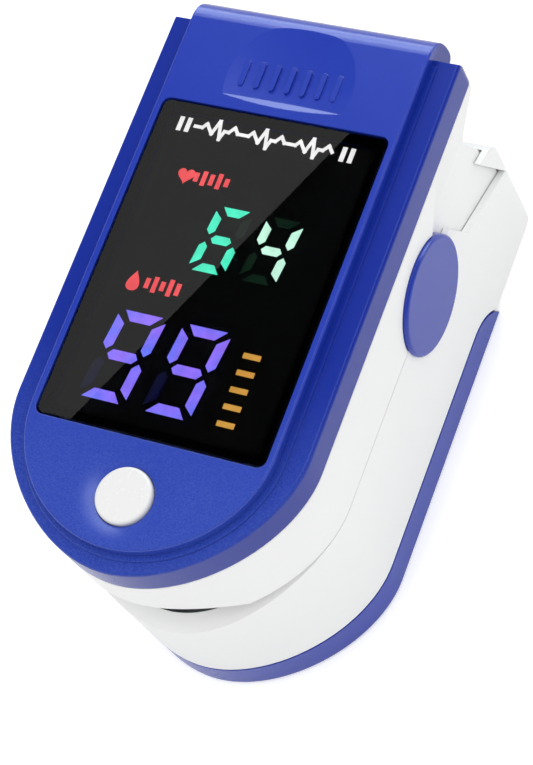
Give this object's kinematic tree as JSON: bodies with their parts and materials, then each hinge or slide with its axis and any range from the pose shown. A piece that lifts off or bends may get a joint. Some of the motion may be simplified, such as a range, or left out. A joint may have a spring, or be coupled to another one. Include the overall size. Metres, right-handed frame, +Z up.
{
  "type": "fingertip pulse oximeter",
  "caption": "Spring-hinged finger clip with a dark numeric display, round power button and push lip on the upper jaw, and a slide-off battery cover under the lower jaw.",
  "frame": {"origin": "on the face the case rests on, under the middle of the case's length and width", "axes": "+Z up out of the display, -Y towards the finger mouth, +Y towards the push lip, X across"},
  "size_m": [0.033, 0.0611, 0.0352],
  "materials": {
    "blue_shell": "satin moulded blue ABS, lightly textured",
    "white_shell": "satin moulded white ABS",
    "white_button": "gloss moulded white",
    "display_glass": "dark tinted gloss acrylic",
    "module_black": "matt black moulding",
    "pulse_green": "lit green strokes",
    "oxygen_violet": "lit violet-blue strokes",
    "bar_amber": "lit amber bars",
    "unlit_green": "unlit strokes",
    "unlit_violet": "unlit strokes",
    "board_green": "green solder resist",
    "chip_black": "moulded chip packages",
    "switch_steel": "stamped steel",
    "pad_silicone": "matt grey silicone",
    "eye_clear": "clear epoxy",
    "sensor_chip": "bare sensor packages",
    "steel": "bright drawn steel",
    "spring_steel": "spring wire",
    "cradle_white": "moulded inner frame",
    "ribbon_amber": "polyimide flexible circuit",
    "cell_jacket": "printed cell jacket, no marks"
  },
  "bodies": {
    "lower_jaw": {"lower_shell": "white_shell", "battery_cradle": "cradle_white", "lower_pad": "pad_silicone", "detector_eye": "eye_clear", "photodiode": "sensor_chip", "detector_board": "board_green", "sensor_ribbon": "ribbon_amber", "hinge_shaft": "steel", "hinge_cap_left": "blue_shell", "hinge_cap_right": "blue_shell", "torsion_spring_left": "spring_steel", "torsion_spring_right": "spring_steel", "battery_cells": "cell_jacket", "contact_springs": "spring_steel", "contact_plates": "steel", "lower_screws": "steel"},
    "upper_jaw": {"top_cover": "blue_shell", "display_lens": "display_glass", "display_module": "module_black", "pulse_digits": "pulse_green", "oxygen_digits": "oxygen_violet", "signal_bars": "bar_amber", "unlit_pulse_strokes": "unlit_green", "unlit_oxygen_strokes": "unlit_violet", "main_board": "board_green", "board_chips": "chip_black", "tact_switch": "switch_steel", "upper_shell": "white_shell", "upper_pad": "pad_silicone", "emitter_eye": "eye_clear", "emitter_chips": "sensor_chip", "emitter_board": "board_green", "upper_screws": "steel"},
    "power_button": {"power_button": "white_button", "switch_plunger": "chip_black"},
    "battery_cover": {"battery_cover": "blue_shell"}
  },
  "joints": [
    {"name": "jaw_hinge", "type": "hinge", "parent": "lower_jaw", "child": "upper_jaw", "pos_m": [0, 0.0094, 0.0205], "axis": [-1, 0, 0], "range_deg": [0, 18], "stiffness_Nm_per_rad": 0.25, "springref_deg": -20.05, "deforming": ["torsion_spring_left", "torsion_spring_right", "sensor_ribbon"]},
    {"name": "button_press", "type": "slide", "parent": "upper_jaw", "child": "power_button", "axis": [0, 0, -1], "range_m": [0, 0.0004], "stiffness_N_per_m": 30, "springref_m": -0.002},
    {"name": "cover_slide", "type": "slide", "parent": "lower_jaw", "child": "battery_cover", "axis": [0, -1, 0], "range_m": [0, 0.05]}
  ]
}
